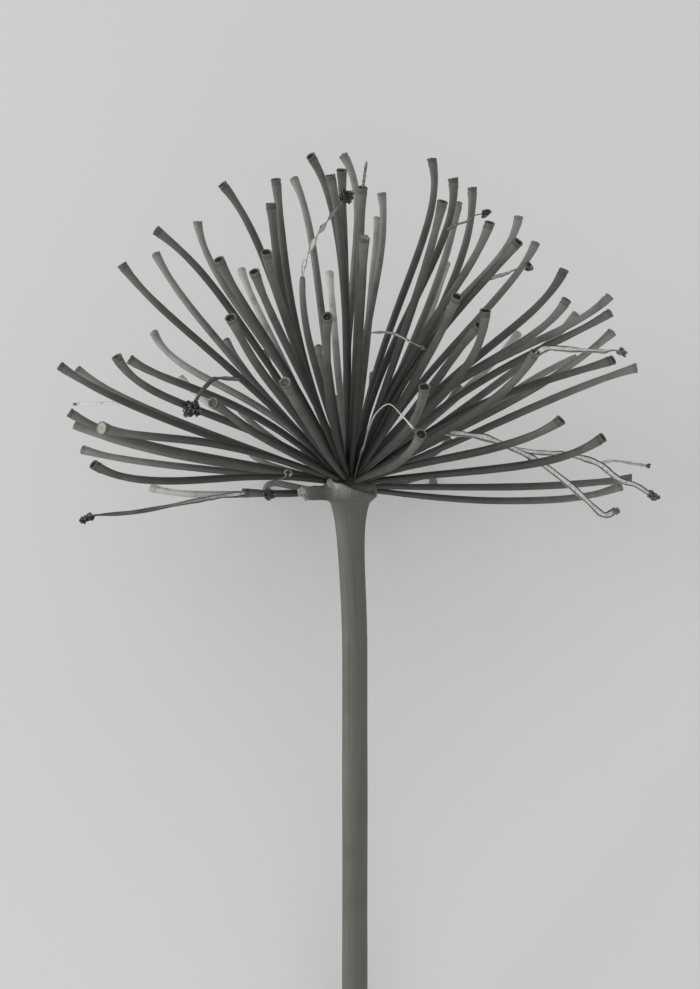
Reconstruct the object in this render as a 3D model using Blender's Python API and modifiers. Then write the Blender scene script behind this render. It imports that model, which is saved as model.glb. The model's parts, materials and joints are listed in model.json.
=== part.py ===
# A dried agapanthus head: a dome of bare flower stalks on a cut stem, lying on a table.
#
# Metres, +Z up, with the origin on the table under the middle of the object. The flower's own
# frame has x across, y up the flower axis and z away from the table; the receptacle is its origin.

import math
import random

import bmesh
import bpy
from mathutils import Matrix, Vector
from mathutils.geometry import intersect_point_line

MM = 0.001
AXIS = Vector((0, 1, 0))
# Points closer than this are one point
WELD = 0.01 * MM

# How the head lies
TILT = math.radians(22)
SCAPE_LENGTH = 180 * MM
SCAPE_RADIUS = 3.6 * MM
REST_SINK = 0.15 * MM
RECEPTACLE_HEIGHT = SCAPE_LENGTH * math.sin(TILT) + SCAPE_RADIUS * math.cos(TILT) - REST_SINK
RECEPTACLE_ACROSS = -0.6 * MM
RECEPTACLE_FORWARD = 38.1 * MM

# The scape, thicker where it meets the receptacle and leaning a little below it
SCAPE_TOP = -5.7 * MM
SCAPE_FLARE = 1.9 * MM
SCAPE_FLARE_FROM = 4.7 * MM
SCAPE_FLARE_FADE = 6 * MM
SCAPE_LEAN = 1.35 * MM
SCAPE_LEAN_FROM = 4 * MM
SCAPE_LEAN_OVER = 42 * MM
SCAPE_ROWS = 18
# Above 1, the rows of the scape stand closer together near its top
SCAPE_ROW_CROWDING = 1.6

# The receptacle's outline: radius and height, from its crown down
RECEPTACLE_OUTLINE = [
    (0, 5.2), (3.6, 4.6), (6.2, 2.9), (7.5, 0.4), (7.7, -1.9), (7.0, -3.2), (5.7, -4.3), (5.2, -5.4),
]
RECEPTACLE_SIDES = 20

# The flower stalks
STALK_RADIUS = 1.05 * MM
REACH_AT_SIDE = 79 * MM
REACH_GAIN_ON_TOP = 14 * MM
ROOT_REACH = 3.6 * MM
# The lowest stalks leave from the rim of the receptacle, the others from its crown
ROOT_AT_RIM = -1.2 * MM
ROOT_AT_CROWN = 1.0 * MM
ROOT_RISE = 1.8 * MM
RIM_FROM = -0.03
RIM_OVER = 0.1
STALK_BOW = 0.05
ROOT_HANDLE = 0.5
TIP_HANDLE = 0.22
# Along the stalk, as shares of its length, and then back from its tip
STALK_STATIONS = [(0, 0.72), (0.2, 0.88), (0.42, 1.0), (0.6, 1.0), (0.76, 0.97)]
CUP_STATIONS = [(8 * MM, 0.9), (3.2 * MM, 1.08), (0, 1.4)]
CUP_RIM = 0.4 * MM
CUP_DEPTH = 0.9 * MM

# Where the tips were seen: from in front, this far off, a little below the receptacle
SIGHT_DISTANCE = 480 * MM
SIGHT_UP = -2.1 * MM
# The depth of a tip is found by steps of this share, from a first guess
FIRST_DEPTH = 40 * MM
DEPTH_STEPS = 60
DEPTH_SHARE = 0.5

# Tips of the stalks in mm as seen from in front: across, up, then the side of the dome, from
# 1 near to -1 far, and the angle in degrees by which the tip turns in towards the flower's axis
LEFT_TIPS = [
    (-81.3, 34, 0, 14), (-64, 62.5, 1, 11), (-54.5, 72, 1, -10), (-54.5, 65.5, -1, 13),
    (-55, 43.5, -1, 20), (-47.4, 30.5, -1, 14), (-65.5, 36.7, 1, 29), (-62, 36, 0.3, 18),
    (-76.5, 33, -1.2, 14), (-78.7, 21, 0.5, 20), (-77, 17.5, -1, 14), (-69.7, 16.5, 1, 20),
    (-75, 10.5, -1, 13), (-72, 6.5, 1, 25), (-55.5, -0.3, -1, 11), (-38.6, 23.8, 1, 3),
    (-42.7, 74.5, -1, 10), (-36, 85, 1, -8), (-36.8, 63.9, 1, 5), (-33.6, 47.7, 1, 11),
    (-26.9, 60.5, 1, 10), (-23.5, 66, 1, 2), (-20.8, 86.3, 1, 5), (-22.2, 79.7, 1, 8),
    (-15.8, 86.5, -1, -10), (-30.5, 61, -1, 8), (-18.3, 29.5, 1, 5), (-30, -1.7, 0.2, 2),
]
TOP_TIPS = [
    (-11.2, 93, 1, -12), (-5.6, 87.6, 1, 4), (-2.3, 89, 1, -7), (-2.1, 93.2, -1, -20),
    (3.5, 84, 1, 3), (8.8, 82.4, -1, 19), (7.8, 75.5, -1, 10), (4, 70.4, 1, 15),
    (-13.3, 58.6, 1, 13), (-5.7, 60, -1, 5), (-6.3, 48, 1, 5),
]
RIGHT_TIPS = [
    (22.8, 92.2, 1, 21), (28.8, 86.6, 1, 17), (26, 80.1, 1, 9), (30.3, 79.8, -1, 15),
    (34.2, 84, 0.6, 25), (39.2, 74.2, 1, 10), (47.2, 75.8, -1, 25), (47.3, 69, 1, 0),
    (52, 68.5, -1, 15), (27, 62.8, -1, 13), (60, 61, 1, 18), (60.8, 52.6, 1, 22),
    (37.9, 49.6, 1, 27), (36.2, 45.3, 0.6, -3), (30, 53.5, 1, 10), (20.3, 46.8, -1, 10),
    (72.8, 53.5, -1, 12), (63.4, 48.4, -1, 12), (73.2, 49, 0.5, 0), (73.7, 43.6, -1, 13),
    (63.5, 36, -1, -10), (47, 43, -1, 10), (52, 38, 1, 27), (74, 35.7, 1, 5),
    (80.5, 33.4, -1, 0), (21, 28.3, 1, 35), (59.4, 19, 1, 30), (71, 14, 1, 23),
    (79, 2.3, 0, 5), (76, 0.3, -1, 17), (20, 15, 1, 19),
]

# Stalks that also bend sideways as seen from in front, by where their tips are: the angle in
# degrees by which the end leans to the left, and the share of its length by which the stalk first
# swings out to the left
SIDE_BENDS = {
    (-64, 62.5): (0, -0.12), (-54.5, 72): (8, -0.12), (-55, 43.5): (-8, -0.24),
    (-65.5, 36.7): (-4, -0.16), (-62, 36): (12, -0.32), (-69.7, 16.5): (24, -0.2),
    (-75, 10.5): (4, -0.04), (-72, 6.5): (-4, -0.12), (-42.7, 74.5): (-12, -0.12),
    (-36, 85): (12, -0.04), (-36.8, 63.9): (0, -0.08), (-26.9, 60.5): (0, -0.08),
    (-23.5, 66): (-8, 0), (-20.8, 86.3): (-4, 0.16), (-22.2, 79.7): (-8, 0.12),
    (-15.8, 86.5): (8, 0), (-11.2, 93): (24, -0.12), (-5.6, 87.6): (12, -0.04),
    (-2.1, 93.2): (12, 0.04), (8.8, 82.4): (8, 0.08), (-13.3, 58.6): (-12, 0),
    (-6.3, 48): (-12, 0.08), (22.8, 92.2): (8, 0.16), (28.8, 86.6): (16, 0.2),
    (34.2, 84): (4, -0.04), (39.2, 74.2): (4, 0.2), (47.2, 75.8): (0, 0.4), (47.3, 69): (-4, 0.24),
    (52, 68.5): (0, 0.2), (60, 61): (4, 0.2), (60.8, 52.6): (0, 0.32), (37.9, 49.6): (16, -0.04),
    (72.8, 53.5): (0, 0.4), (73.2, 49): (0, 0.28), (74, 35.7): (-12, 0.28),
    (80.5, 33.4): (-8, 0.04), (59.4, 19): (-16, 0.08), (76, 0.3): (4, -0.08),
}

# Stalks that stand on the table, by where their ends are across and up the flower
RESTING_TIPS = [(-27, -1.0), (27, 1.5)]
# Other stalks stop this far above the table
TABLE_CLEARANCE = 2.6 * MM

# Stalks on the far side, hidden from in front by the others, by the shares of their length that
# they reach across and up
HIDDEN_COUNT = 17
HIDDEN_TRIES = 6000
HIDDEN_ACROSS = (-0.46, 0.42)
HIDDEN_UP = (0.1, 0.55)
HIDDEN_LENGTH = (0.93, 1.0)
HIDDEN_SPACING = math.radians(9.5)
HIDDEN_TURN = 12
SEED = 11

# Withered flowers, as threads in mm: half their width, half the width of their crumpled end, and
# their way as seen from in front: across, up, height over the scape. Each starts in a stalk, or
# in a thread listed before it
THREADS = [
    (0.4, 1.0, [(-28.8, -1.7, 14), (-36, -2.6, 17), (-44, -4, 18), (-60, -7, 16), (-72, -8, 12),
                (-74.8, -9.5, 10)]),
    (0.4, 1.5, [(-32.1, 28.2, 13), (-35.4, 30.4, 19), (-38.2, 30.2, 25), (-41, 27.4, 32),
                (-43, 24.5, 38), (-44, 22, 40)]),
    (0.36, 1.6, [(-12.9, 55.9, 68.6), (-12.9, 62, 70), (-10, 69, 69), (-7.5, 73, 66), (-4.5, 77, 62),
                 (-1.3, 81, 60)]),
    (0.45, 0.7, [(3.4, 82.1, 50), (3.9, 86, 51), (4.5, 90.5, 52)]),
    (0.4, 0.7, [(2.7, 42.8, 45), (7.5, 43.3, 49), (12, 43, 53), (17, 40.7, 57), (20.5, 39, 58)]),
    (0.4, 0.7, [(1, 1.5, 6), (1.9, 5, 22), (3, 9, 37), (4, 12, 47), (5.5, 17, 58), (7.5, 20.8, 66),
                (11, 23.2, 71), (15, 19.5, 73), (18.5, 15.5, 73)]),
    (0.45, 1.4, [(25.9, 72.1, 31), (29, 73.2, 35), (33, 74.5, 38), (35, 76, 39), (38, 76.7, 38)]),
    (0.45, 1.1, [(39.3, 56.8, 40), (43, 59.5, 30), (46, 60.8, 22), (49, 62, 16), (50.3, 61.5, 14)]),
    (0.7, 1.2, [(51.5, 37, 62.8), (55, 38.8, 60.5), (62, 38.5, 52), (70, 38, 41), (74, 38.3, 34),
                (76.8, 37.5, 30)]),
    (0.75, 1.1, [(26.1, 15.6, 34), (33, 14.6, 36), (38.5, 13.6, 37), (45, 11, 37), (50.7, 8.2, 34),
                 (54.6, 5.9, 31), (61, 1, 27), (66, -3.5, 23), (71, -7.8, 19), (74.4, -6.6, 17)]),
    (0.6, 1.4, [(45, 11, 37), (50.7, 9.8, 33), (57.7, 9.3, 30), (63, 8.6, 28), (69.4, 6.6, 26),
                (74, 3.1, 25), (76.5, 1.6, 24), (80.3, 0.4, 23), (85.2, -2.8, 22)]),
    (0.45, 0.7, [(69.4, 6.6, 26), (74, 7.3, 24), (79, 6.6, 21), (83.4, 5.9, 19)]),
    (0.4, 1.6, [(-16.2, 3.3, 12.9), (-17.2, 4.2, 16), (-18.2, 3.4, 17.5), (-19.8, 1.8, 18),
                (-22, 0.6, 18.5), (-23.2, -0.4, 18.5), (-22.4, -2, 18)]),
    (0.4, 0.6, [(-58.4, 22.8, -5.8), (-64, 23.5, -8), (-70, 23.4, -11), (-77, 23.2, -14)]),
]
# The crumpled end, as shares of its half width: how far it reaches past the thread, and its
# thickness where it starts
THREAD_END_LENGTH = 1.2
THREAD_END_START = 0.6
# How much thicker a thread is where it starts
THREAD_ROOT_SWELL = 1.3

# The spathe remnant, a torn strip under the near stalks that ends in a flap on the left: the turn
# in degrees about the flower axis from straight up off the table, the radius in mm, and the
# heights of its foot and its torn edge
REMNANT_COLUMNS = [
    (60, 8.6, -3.5, -2.4), (45, 8.6, -3.6, -2.0), (30, 8.6, -3.6, -1.6), (16, 8.7, -3.7, -1.1),
    (5, 8.7, -3.7, -0.5), (-6, 8.8, -3.8, 0.3), (-17, 8.9, -3.8, 1.1), (-27, 9.1, -3.8, 1.2),
    (-35, 9.1, -3.8, 2.2), (-42, 9.2, -3.7, 2.1), (-46, 9.6, -3.6, 0.6), (-48, 11.5, -3.5, 0.3),
    (-49, 13.6, -3.5, 0.3), (-50, 16.0, -3.4, 0.0), (-50.5, 18.5, -2.4, -0.9),
]
REMNANT_THICKNESS = 0.5 * MM
# How far in its foot is, and how far in and up the bend above the foot
REMNANT_FOOT_IN = 0.9
REMNANT_BEND = (0.15, 0.9)


def flower_pose():
    """The matrix that lays the flower's own frame on the table."""
    receptacle = Vector((RECEPTACLE_ACROSS, RECEPTACLE_FORWARD, RECEPTACLE_HEIGHT))
    return Matrix.Translation(receptacle) @ Matrix.Rotation(TILT, 4, "X")


def smooth_step(value):
    """Ease from 0 to 1 as value goes from 0 to 1."""
    share = min(max(value, 0.0), 1.0)
    return share * share * (3 - 2 * share)


def clear_scene():
    """Remove what the scene holds."""
    for item in list(bpy.data.objects):
        bpy.data.objects.remove(item, do_unlink=True)


def new_collection(name):
    """A collection linked to the scene."""
    collection = bpy.data.collections.new(name)
    bpy.context.scene.collection.children.link(collection)
    return collection


def plain_material(name, colour, roughness):
    """A dry, dull plant surface."""
    material = bpy.data.materials.new(name)
    material.use_nodes = True
    shader = material.node_tree.nodes["Principled BSDF"]
    shader.inputs["Base Color"].default_value = (*colour, 1)
    shader.inputs["Roughness"].default_value = roughness
    shader.inputs["Metallic"].default_value = 0
    return material


def add_object(name, data, collection):
    """An object in the collection."""
    item = bpy.data.objects.new(name, data)
    collection.objects.link(item)
    return item


def add_tube(name, points, radii, resolution, collection):
    """A tube along the points, as a curve with filled ends."""
    curve = bpy.data.curves.new(name, "CURVE")
    curve.dimensions = "3D"
    curve.bevel_depth = 1.0
    curve.bevel_resolution = resolution
    curve.use_fill_caps = True
    spline = curve.splines.new("POLY")
    spline.points.add(len(points) - 1)
    for point, place, radius in zip(spline.points, points, radii):
        point.co = (*place, 1)
        point.radius = radius
    return add_object(name, curve, collection)


def made_mesh(item, collection):
    """The object as a closed mesh in world space, in its place."""
    bpy.context.view_layer.update()
    evaluated = item.evaluated_get(bpy.context.evaluated_depsgraph_get())
    mesh = bpy.data.meshes.new_from_object(evaluated)
    mesh.transform(item.matrix_world)
    name = item.name
    bpy.data.objects.remove(item, do_unlink=True)
    shape = bmesh.new()
    shape.from_mesh(mesh)
    bmesh.ops.remove_doubles(shape, verts=shape.verts, dist=WELD)
    shape.to_mesh(mesh)
    shape.free()
    return add_object(name, mesh, collection)


def seen_point(across, up, depth):
    """The point at a depth towards the viewer that is seen at across and up."""
    nearer = 1 - depth / SIGHT_DISTANCE
    return Vector((across * nearer, SIGHT_UP + (up - SIGHT_UP) * nearer, depth))


def reach(direction):
    """The length of the stalks that point along a direction."""
    return REACH_AT_SIDE + REACH_GAIN_ON_TOP * direction.normalized().y


def seen_tip(across, up, side):
    """The tip seen at across and up, where its sight line meets the dome of tips."""
    depth = side * FIRST_DEPTH
    for _ in range(DEPTH_STEPS):
        tip = seen_point(across * MM, up * MM, depth)
        spare = reach(tip) ** 2 - tip.x ** 2 - tip.y ** 2
        depth += DEPTH_SHARE * (side * math.sqrt(max(spare, 0.0)) - depth)
    return seen_point(across * MM, up * MM, depth)


def kept_off_table(tip):
    """The tip, drawn in along its stalk where it would reach the table."""
    height = (flower_pose() @ tip).z
    if height >= TABLE_CLEARANCE:
        return tip
    return tip * (RECEPTACLE_HEIGHT - TABLE_CLEARANCE) / (RECEPTACLE_HEIGHT - height)


def resting_tip(across, up):
    """The end of a stalk that stands on the table, a little too long until it is trimmed flat."""
    depth = -(RECEPTACLE_HEIGHT + REST_SINK + up * MM * math.sin(TILT)) / math.cos(TILT)
    return Vector((across * MM, up * MM, depth))


def hidden_tips(taken):
    """Tips on the far side of the dome, well spaced from the ones already there."""
    draw = random.Random(SEED)
    found = []
    for _ in range(HIDDEN_TRIES):
        across = draw.uniform(*HIDDEN_ACROSS)
        up = draw.uniform(*HIDDEN_UP)
        tip = Vector((across, up, -math.sqrt(1 - across ** 2 - up ** 2)))
        spaced = all(tip.angle(other) > HIDDEN_SPACING for other in taken + found)
        if spaced:
            found.append(tip * reach(tip) * draw.uniform(*HIDDEN_LENGTH))
        if len(found) == HIDDEN_COUNT:
            break
    return found


def all_stalks():
    """Every stalk as its tip, the direction in which its end points and its swing to the left."""
    stalks = []
    for across, up, side, turn in LEFT_TIPS + TOP_TIPS + RIGHT_TIPS:
        tip = kept_off_table(seen_tip(across, up, side))
        lean, swing = SIDE_BENDS.get((across, up), (0, 0))
        end = Matrix.Rotation(math.radians(lean), 3, "Z") @ turned_end(tip, math.radians(turn))
        stalks.append((tip, end, swing))
    resting = [resting_tip(across, up) for across, up in RESTING_TIPS]
    for tip in hidden_tips([tip for tip, _, _ in stalks] + resting):
        tip = kept_off_table(tip)
        stalks.append((tip, turned_end(tip, math.radians(HIDDEN_TURN)), 0))
    down = flower_pose().to_3x3().inverted() @ Vector((0, 0, -1))
    return stalks + [(tip, down, 0) for tip in resting]


def across_axis(direction):
    """The unit vector square to a direction that leads towards the flower's axis."""
    return (AXIS - direction * AXIS.dot(direction)).normalized()


def turned_end(tip, turn):
    """The direction of a stalk's end, turned in from straight outward."""
    outward = tip.normalized()
    return outward * math.cos(turn) + across_axis(outward) * math.sin(turn)


def stalk_root(tip):
    """Where a stalk starts, inside the receptacle."""
    outward = tip.normalized()
    above_rim = smooth_step((outward.y - RIM_FROM) / RIM_OVER)
    height = ROOT_AT_RIM + (ROOT_AT_CROWN - ROOT_AT_RIM) * above_rim + ROOT_RISE * outward.y
    return Vector((ROOT_REACH * outward.x, height, ROOT_REACH * outward.z))


def stalk_path(tip, end, swing):
    """Points and radii of one stalk, from its root to the rim of its cup."""
    root = stalk_root(tip)
    length = (tip - root).length
    along = (tip - root) / length
    left = Vector((-along.y, along.x, 0)).normalized()
    start = along - across_axis(along) * STALK_BOW + left * swing
    first = root + start * ROOT_HANDLE * length
    second = tip - end * TIP_HANDLE * length
    shares = list(STALK_STATIONS)
    for back, swell in CUP_STATIONS:
        shares.append((1 - back / (3 * TIP_HANDLE * length), swell))
    points = []
    for share, _ in shares:
        rest = 1 - share
        bend = first * (3 * rest * rest * share) + second * (3 * rest * share * share)
        points.append(root * rest ** 3 + bend + tip * share ** 3)
    return points, [swell * STALK_RADIUS for _, swell in shares]


def dish_end(item, tip):
    """Sink the flat end of a stalk into a shallow cup with a rim."""
    shape = bmesh.new()
    shape.from_mesh(item.data)
    end = min(shape.faces, key=lambda face: (face.calc_center_median() - tip).length)
    inward = end.normal * -CUP_DEPTH
    bmesh.ops.inset_region(shape, faces=[end], thickness=CUP_RIM, use_even_offset=True)
    bmesh.ops.translate(shape, verts=end.verts, vec=inward)
    shape.to_mesh(item.data)
    shape.free()


def add_stalks(collection):
    """Every flower stalk with its cup, each a closed mesh."""
    pose = flower_pose()
    for number, (tip, end, swing) in enumerate(all_stalks()):
        points, radii = stalk_path(tip, end, swing)
        tube = add_tube(f"stalk_{number}", [pose @ point for point in points], radii, 1, collection)
        stalk = made_mesh(tube, collection)
        stands = (pose @ tip).z < TABLE_CLEARANCE / 2
        if not stands:
            dish_end(stalk, pose @ tip)


def nearest_on(lines, place):
    """The point nearest to a place on any of the lines."""
    found = []
    for line in lines:
        for start, end in zip(line, line[1:]):
            point, share = intersect_point_line(place, start, end)
            if share < 0:
                point = start
            elif share > 1:
                point = end
            found.append(point)
    return min(found, key=lambda point: (point - place).length)


def add_threads(collection):
    """Every withered flower, a thread that swells into a crumpled end."""
    pose = flower_pose()
    lines = [stalk_path(tip, end, swing)[0] for tip, end, swing in all_stalks()]
    for number, (half_width, end_size, route) in enumerate(THREADS):
        points = [seen_point(across * MM, up * MM, depth * MM) for across, up, depth in route]
        points[0] = nearest_on(lines, points[0])
        lines.append(list(points))
        heading = (points[-1] - points[-2]).normalized()
        points.append(points[-1] + heading * THREAD_END_LENGTH * end_size * MM)
        radii = [half_width * THREAD_ROOT_SWELL] + [half_width] * (len(route) - 2)
        radii += [end_size * THREAD_END_START, end_size]
        places = [pose @ point for point in points]
        tube = add_tube(f"thread_{number}", places, [radius * MM for radius in radii], 0, collection)
        made_mesh(tube, collection)


def add_receptacle(collection):
    """The turned head of the stem that the stalks grow from."""
    mesh = bpy.data.meshes.new("umbel")
    outline = [(radius * MM, 0, height * MM) for radius, height in RECEPTACLE_OUTLINE]
    outline.append((0, 0, outline[-1][2]))
    mesh.from_pydata(outline, [(i, i + 1) for i in range(len(outline) - 1)], [])
    item = add_object("umbel", mesh, collection)
    screw = item.modifiers.new("turn", "SCREW")
    screw.steps = RECEPTACLE_SIDES
    screw.render_steps = RECEPTACLE_SIDES
    screw.use_merge_vertices = True
    screw.merge_threshold = WELD
    item.matrix_world = flower_pose() @ Matrix.Rotation(-math.pi / 2, 4, "X")
    return made_mesh(item, collection)


def fuse(item, repeats):
    """Join every object of a collection to an object, and remove the collection."""
    union = item.modifiers.new("grown_together", "BOOLEAN")
    union.operation = "UNION"
    union.solver = "EXACT"
    union.operand_type = "COLLECTION"
    union.collection = repeats
    bpy.context.view_layer.update()
    evaluated = item.evaluated_get(bpy.context.evaluated_depsgraph_get())
    mesh = bpy.data.meshes.new_from_object(evaluated)
    item.modifiers.clear()
    item.data = mesh
    for part in list(repeats.objects):
        bpy.data.objects.remove(part, do_unlink=True)
    bpy.data.collections.remove(repeats)


def linked_faces(start):
    """Every face that hangs together with one face."""
    group = {start}
    waiting = [start]
    while waiting:
        face = waiting.pop()
        for edge in face.edges:
            for neighbour in edge.link_faces:
                if neighbour not in group:
                    group.add(neighbour)
                    waiting.append(neighbour)
    return group


def trim_at_table(item):
    """Cut off what reaches below the table, which leaves small flat spots to rest on."""
    shape = bmesh.new()
    shape.from_mesh(item.data)
    whole = shape.verts[:] + shape.edges[:] + shape.faces[:]
    bmesh.ops.bisect_plane(shape, geom=whole, plane_co=(0, 0, 0), plane_no=(0, 0, 1), clear_inner=True)
    bmesh.ops.holes_fill(shape, edges=shape.edges)
    shape.to_mesh(item.data)
    shape.free()


def keep_one_body(item):
    """Drop loose scraps and fill sealed hollows, which are all the smaller closed skins."""
    shape = bmesh.new()
    shape.from_mesh(item.data)
    left = set(shape.faces)
    groups = []
    while left:
        group = linked_faces(next(iter(left)))
        left -= group
        groups.append(group)
    body = max(groups, key=len)
    spare = [face for face in shape.faces if face not in body]
    bmesh.ops.delete(shape, geom=spare, context="FACES")
    bmesh.ops.triangulate(shape, faces=shape.faces)
    shape.to_mesh(item.data)
    shape.free()


def add_umbel(collection):
    """The receptacle with its stalks and withered flowers, grown as one body."""
    repeats = new_collection("umbel_repeats")
    umbel = add_receptacle(collection)
    add_stalks(repeats)
    add_threads(repeats)
    fuse(umbel, repeats)
    trim_at_table(umbel)
    keep_one_body(umbel)
    umbel.data.materials.append(plain_material("dry_stalk", (0.105, 0.097, 0.08), 0.8))
    return umbel


def scape_point(down):
    """The middle of the scape at a distance below the receptacle."""
    return Vector((SCAPE_LEAN * smooth_step((down - SCAPE_LEAN_FROM) / SCAPE_LEAN_OVER), -down, 0))


def scape_radius(down):
    """The scape's radius at a distance below the receptacle."""
    return SCAPE_RADIUS + SCAPE_FLARE * math.exp(-(down - SCAPE_FLARE_FROM) / SCAPE_FLARE_FADE)


def add_scape(collection):
    """The cut stem, with a small flat spot where its end lies on the table."""
    shares = [(row / SCAPE_ROWS) ** SCAPE_ROW_CROWDING for row in range(SCAPE_ROWS + 1)]
    downs = [-SCAPE_TOP + (SCAPE_LENGTH + SCAPE_TOP) * share for share in shares]
    pose = flower_pose()
    points = [pose @ scape_point(down) for down in downs]
    tube = add_tube("scape", points, [scape_radius(down) for down in downs], 4, collection)
    scape = made_mesh(tube, collection)
    trim_at_table(scape)
    scape.data.materials.append(plain_material("dry_scape", (0.12, 0.11, 0.09), 0.7))
    return scape


def around_axis(turn, radius, height):
    """A point by its turn about the flower axis from straight up off the table."""
    return Vector((radius * math.sin(turn), height, radius * math.cos(turn)))


def add_spathe_remnant(collection):
    """The torn papery strip of the sheath, under the stalks on one side."""
    pose = flower_pose()
    inward, upward = REMNANT_BEND
    points = []
    for degrees, radius, foot, edge in REMNANT_COLUMNS:
        section = [(radius - REMNANT_FOOT_IN, foot), (radius - inward, foot + upward), (radius, edge)]
        for out, height in section:
            points.append(pose @ around_axis(math.radians(degrees), out * MM, height * MM))
    rows = len(section)
    faces = []
    for column in range(len(REMNANT_COLUMNS) - 1):
        for row in range(rows - 1):
            corner = column * rows + row
            faces.append((corner, corner + 1, corner + rows + 1, corner + rows))
    mesh = bpy.data.meshes.new("spathe_remnant")
    mesh.from_pydata(points, [], faces)
    remnant = add_object("spathe_remnant", mesh, collection)
    wall = remnant.modifiers.new("wall", "SOLIDIFY")
    wall.thickness = REMNANT_THICKNESS
    wall.offset = 0
    mesh.materials.append(plain_material("papery_sheath", (0.32, 0.29, 0.24), 0.85))
    return remnant


clear_scene()
head = new_collection("dried_agapanthus_head")
add_scape(head)
add_umbel(head)
add_spathe_remnant(head)
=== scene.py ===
import json
import math
import random

import bpy
from mathutils import Matrix, Vector
from mathutils.geometry import intersect_point_line
from mathutils.noise import noise

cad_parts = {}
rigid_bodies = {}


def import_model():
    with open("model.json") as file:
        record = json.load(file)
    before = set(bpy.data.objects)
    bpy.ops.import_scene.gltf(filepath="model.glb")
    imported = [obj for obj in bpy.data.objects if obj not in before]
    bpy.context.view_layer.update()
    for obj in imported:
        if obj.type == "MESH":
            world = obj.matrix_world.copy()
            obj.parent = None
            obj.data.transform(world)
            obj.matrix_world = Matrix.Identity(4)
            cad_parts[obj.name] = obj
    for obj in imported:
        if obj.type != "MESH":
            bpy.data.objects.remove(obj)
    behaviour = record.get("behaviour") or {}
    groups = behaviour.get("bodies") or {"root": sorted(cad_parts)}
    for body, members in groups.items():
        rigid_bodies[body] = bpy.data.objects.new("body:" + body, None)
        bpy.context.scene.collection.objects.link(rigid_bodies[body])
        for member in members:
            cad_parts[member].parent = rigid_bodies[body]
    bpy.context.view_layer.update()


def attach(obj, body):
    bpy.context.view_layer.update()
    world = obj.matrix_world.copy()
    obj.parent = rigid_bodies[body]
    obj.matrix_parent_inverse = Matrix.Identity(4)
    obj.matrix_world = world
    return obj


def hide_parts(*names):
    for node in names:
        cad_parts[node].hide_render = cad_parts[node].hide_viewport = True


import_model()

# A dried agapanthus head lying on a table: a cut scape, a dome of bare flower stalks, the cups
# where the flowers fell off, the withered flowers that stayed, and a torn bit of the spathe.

# The scape. It is the flower's own stem, dry skin over solid pith, 7 mm thick. It widens into
# the receptacle, leans a little below it, and is cut square at its lower end, where it lies on
# the table. Its skin has fine ribs lengthwise.

MM = 0.001
AXIS = Vector((0, 1, 0))
TILT = math.radians(22)
SCAPE_LENGTH = 180 * MM
SCAPE_RADIUS = 3.6 * MM
SCAPE_FLARE = 1.9 * MM
SCAPE_FLARE_FROM = 4.7 * MM
SCAPE_FLARE_FADE = 6 * MM
SCAPE_LEAN = 1.35 * MM
SCAPE_LEAN_FROM = 4 * MM
SCAPE_LEAN_OVER = 42 * MM
SCAPE_TOP = 5.55 * MM
# Rings that close the scape's top inside the receptacle: distance below it, and radius
SCAPE_COVERED = [(4.6 * MM, 4.3 * MM), (5.15 * MM, 5.0 * MM)]
SCAPE_SINK = 0.15 * MM
SCAPE_ROWS = 190
# Above 1, the rows stand closer together near the top
SCAPE_ROW_CROWDING = 1.25
STEM_SIDES = 84
RIB_COUNT = 21
RIB_DEPTH = 0.02 * MM
FOLD_DEPTH = 0.075 * MM
RECEPTACLE_HEIGHT = SCAPE_LENGTH * math.sin(TILT) + SCAPE_RADIUS * math.cos(TILT) - SCAPE_SINK
RECEPTACLE_ACROSS = -0.6 * MM
RECEPTACLE_FORWARD = 38.1 * MM
# The cut end, as shares of the radius with the depth of the pith, which shrank as it dried
CUT_END = [(0.99, 0.0), (0.93, 0.0), (0.87, 0.25), (0.72, 0.4), (0.5, 0.5), (0.25, 0.6)]

# The flower's own frame has x across, y up its axis and z away from the table
pose = Matrix.Translation((RECEPTACLE_ACROSS, RECEPTACLE_FORWARD, RECEPTACLE_HEIGHT))
pose = pose @ Matrix.Rotation(TILT, 4, "X")


def wire(tree, kind, inputs, out=0, **settings):
    """Add a node, fill its sockets with values or other nodes' outputs, and give its output."""
    node = tree.nodes.new(kind)
    for name, value in settings.items():
        setattr(node, name, value)
    shown = [item for item in node.inputs if item.enabled]
    for key, value in inputs.items():
        target = shown[key] if isinstance(key, int) else next(i for i in shown if i.name == key)
        if isinstance(value, bpy.types.NodeSocket):
            tree.links.new(value, target)
        else:
            target.default_value = value
    return [item for item in node.outputs if item.enabled][out]


def mixed(tree, share, first, second):
    """One colour going into another as share goes from 0 to 1."""
    first, second = [(*end, 1) if isinstance(end, tuple) else end for end in (first, second)]
    ends = {0: share, 1: first, 2: second}
    return wire(tree, "ShaderNodeMix", ends, data_type="RGBA")


def ranged(tree, value, low, high, to_low=0.0, to_high=1.0):
    """A value between two limits, carried over to two others."""
    limits = {"Value": value, "From Min": low, "From Max": high, "To Min": to_low, "To Max": to_high}
    return wire(tree, "ShaderNodeMapRange", limits, interpolation_type="SMOOTHSTEP")


def named(tree, name, kind="Fac"):
    """What a piece's own attribute says at a point."""
    node = tree.nodes.new("ShaderNodeAttribute")
    node.attribute_name = name
    return node.outputs[kind]


def bare_material(name):
    """A new material, its nodes and its shader."""
    material = bpy.data.materials.new(name)
    material.use_nodes = True
    return material, material.node_tree, material.node_tree.nodes["Principled BSDF"]


def fibres(tree, across, along, detail=4.0):
    """Streaks that run lengthwise, from the attribute that rolls a piece out straight."""
    spread = {"Vector": named(tree, "skin", "Vector"), "Scale": (across, across, along)}
    vector = wire(tree, "ShaderNodeMapping", spread)
    return wire(tree, "ShaderNodeTexNoise", {"Vector": vector, "Scale": 1.0, "Detail": detail})


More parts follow.
